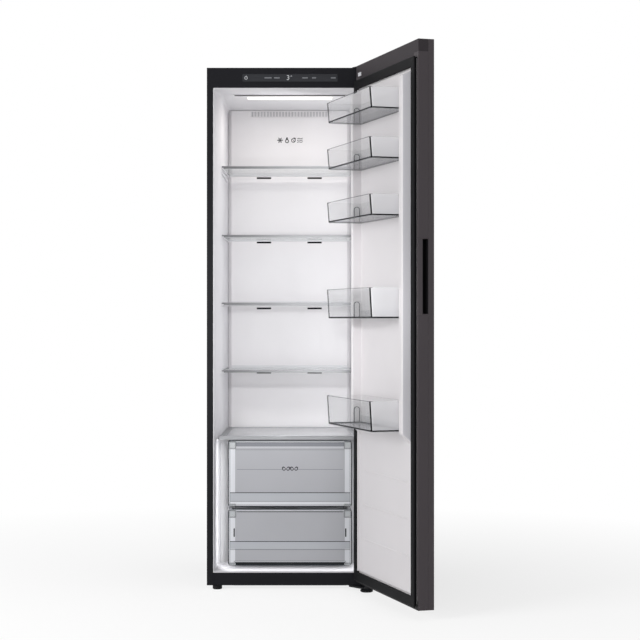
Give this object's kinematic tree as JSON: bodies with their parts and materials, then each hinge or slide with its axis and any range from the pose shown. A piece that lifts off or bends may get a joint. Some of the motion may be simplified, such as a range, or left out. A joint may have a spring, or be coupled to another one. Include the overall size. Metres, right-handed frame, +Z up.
{
  "type": "single-door refrigerator",
  "caption": "Tall single-door refrigerator with an open right-hinged door, glass shelves, clear drawers, lift-off door bins and a top display strip.",
  "frame": {"origin": "on the underside of the base, at the middle of the cabinet's front edge; the feet stand 14 mm lower", "axes": "+X to the cabinet's right as seen from the front, +Y from the front plane into the cabinet, +Z up"},
  "size_m": [0.7565, 1.2544, 1.871],
  "materials": {
    "black_paint": "satin powder coat",
    "galvanised": "matte",
    "black_plastic": "satin",
    "window_glass": "gloss",
    "foam": "matte",
    "white_liner": "satin",
    "light_grey_plastic": "satin",
    "lamp_diffuser": "frosted",
    "shelf_glass": "clear",
    "fin_aluminium": "satin",
    "fan_plastic": "satin",
    "compressor_black": "satin",
    "rubber": "matte",
    "steel": "satin",
    "door_paint": "satin",
    "cap_plastic": "satin",
    "magnet_cover": "gloss",
    "clear_plastic": "clear tinted"
  },
  "bodies": {
    "cabinet": {"side_panel_left": "black_paint", "side_panel_right": "black_paint", "top_panel": "black_paint", "rear_panel": "galvanised", "base_pan": "galvanised", "base_front_panel": "black_plastic", "cabinet_foam": "foam", "inner_liner": "white_liner", "control_housing": "black_plastic", "display_window": "window_glass", "lamp_housing": "light_grey_plastic", "lamp_lens": "lamp_diffuser", "duct_cover": "light_grey_plastic", "evaporator": "fin_aluminium", "fan_shroud": "light_grey_plastic", "shelf_glass_1": "shelf_glass", "shelf_glass_2": "shelf_glass", "shelf_glass_3": "shelf_glass", "shelf_glass_4": "shelf_glass", "shelf_trims_1": "light_grey_plastic", "shelf_trims_2": "light_grey_plastic", "shelf_trims_3": "light_grey_plastic", "shelf_trims_4": "light_grey_plastic", "cover_shelf_glass": "shelf_glass", "cover_shelf_trims": "light_grey_plastic", "drawer_rails": "light_grey_plastic", "compressor": "compressor_black", "compressor_mounts": "rubber", "machine_plate": "galvanised", "condenser": "compressor_black", "rear_cover": "galvanised", "power_inlet": "black_plastic", "hinge_bracket_upper": "compressor_black", "hinge_bracket_lower": "compressor_black", "hinge_pins": "steel", "hinge_screws": "steel", "foot_left": "black_plastic", "foot_right": "black_plastic", "roller_axles": "steel"},
    "door": {"door_skin": "door_paint", "door_edge_hinge": "door_paint", "door_edge_handle": "door_paint", "door_cap_top": "cap_plastic", "door_cap_bottom": "cap_plastic", "grip_pocket": "black_plastic", "door_foam": "foam", "door_liner": "white_liner", "gasket": "rubber", "sensor_magnet": "magnet_cover", "hinge_bushes": "magnet_cover"},
    "bin_1": {"bin_1": "clear_plastic"},
    "bin_2": {"bin_2": "clear_plastic"},
    "bin_3": {"bin_3": "clear_plastic"},
    "bin_4": {"bin_4": "clear_plastic"},
    "bin_5": {"bin_5": "clear_plastic"},
    "drawer_upper": {"drawer_upper": "clear_plastic"},
    "drawer_lower": {"drawer_lower": "clear_plastic"},
    "fan": {"fan_rotor": "fan_plastic"},
    "roller_left": {"roller_left": "fan_plastic"},
    "roller_right": {"roller_right": "fan_plastic"}
  },
  "joints": [
    {"name": "door_hinge", "type": "hinge", "parent": "cabinet", "child": "door", "pos_m": [0.2775, -0.053, 0.02], "axis": [0, 0, 1], "range_deg": [-106.8, 8.2]},
    {"name": "drawer_upper_slide", "type": "slide", "parent": "cabinet", "child": "drawer_upper", "axis": [0, -1, 0], "range_m": [0, 0.3]},
    {"name": "drawer_lower_slide", "type": "slide", "parent": "cabinet", "child": "drawer_lower", "axis": [0, -1, 0], "range_m": [0, 0.25]},
    {"name": "bin_1_lift", "type": "slide", "parent": "door", "child": "bin_1", "axis": [0, 0, 1], "range_m": [0, 0.03]},
    {"name": "bin_2_lift", "type": "slide", "parent": "door", "child": "bin_2", "axis": [0, 0, 1], "range_m": [0, 0.03]},
    {"name": "bin_3_lift", "type": "slide", "parent": "door", "child": "bin_3", "axis": [0, 0, 1], "range_m": [0, 0.03]},
    {"name": "bin_4_lift", "type": "slide", "parent": "door", "child": "bin_4", "axis": [0, 0, 1], "range_m": [0, 0.03]},
    {"name": "bin_5_lift", "type": "slide", "parent": "door", "child": "bin_5", "axis": [0, 0, 1], "range_m": [0, 0.03]},
    {"name": "fan_spin", "type": "hinge", "parent": "cabinet", "child": "fan", "pos_m": [0, 0.539, 1.6], "axis": [0, 1, 0], "continuous": true},
    {"name": "roller_left_spin", "type": "hinge", "parent": "cabinet", "child": "roller_left", "pos_m": [-0.255, 0.593, 0.006], "axis": [1, 0, 0], "continuous": true},
    {"name": "roller_right_spin", "type": "hinge", "parent": "cabinet", "child": "roller_right", "pos_m": [0.255, 0.593, 0.006], "axis": [1, 0, 0], "continuous": true}
  ]
}
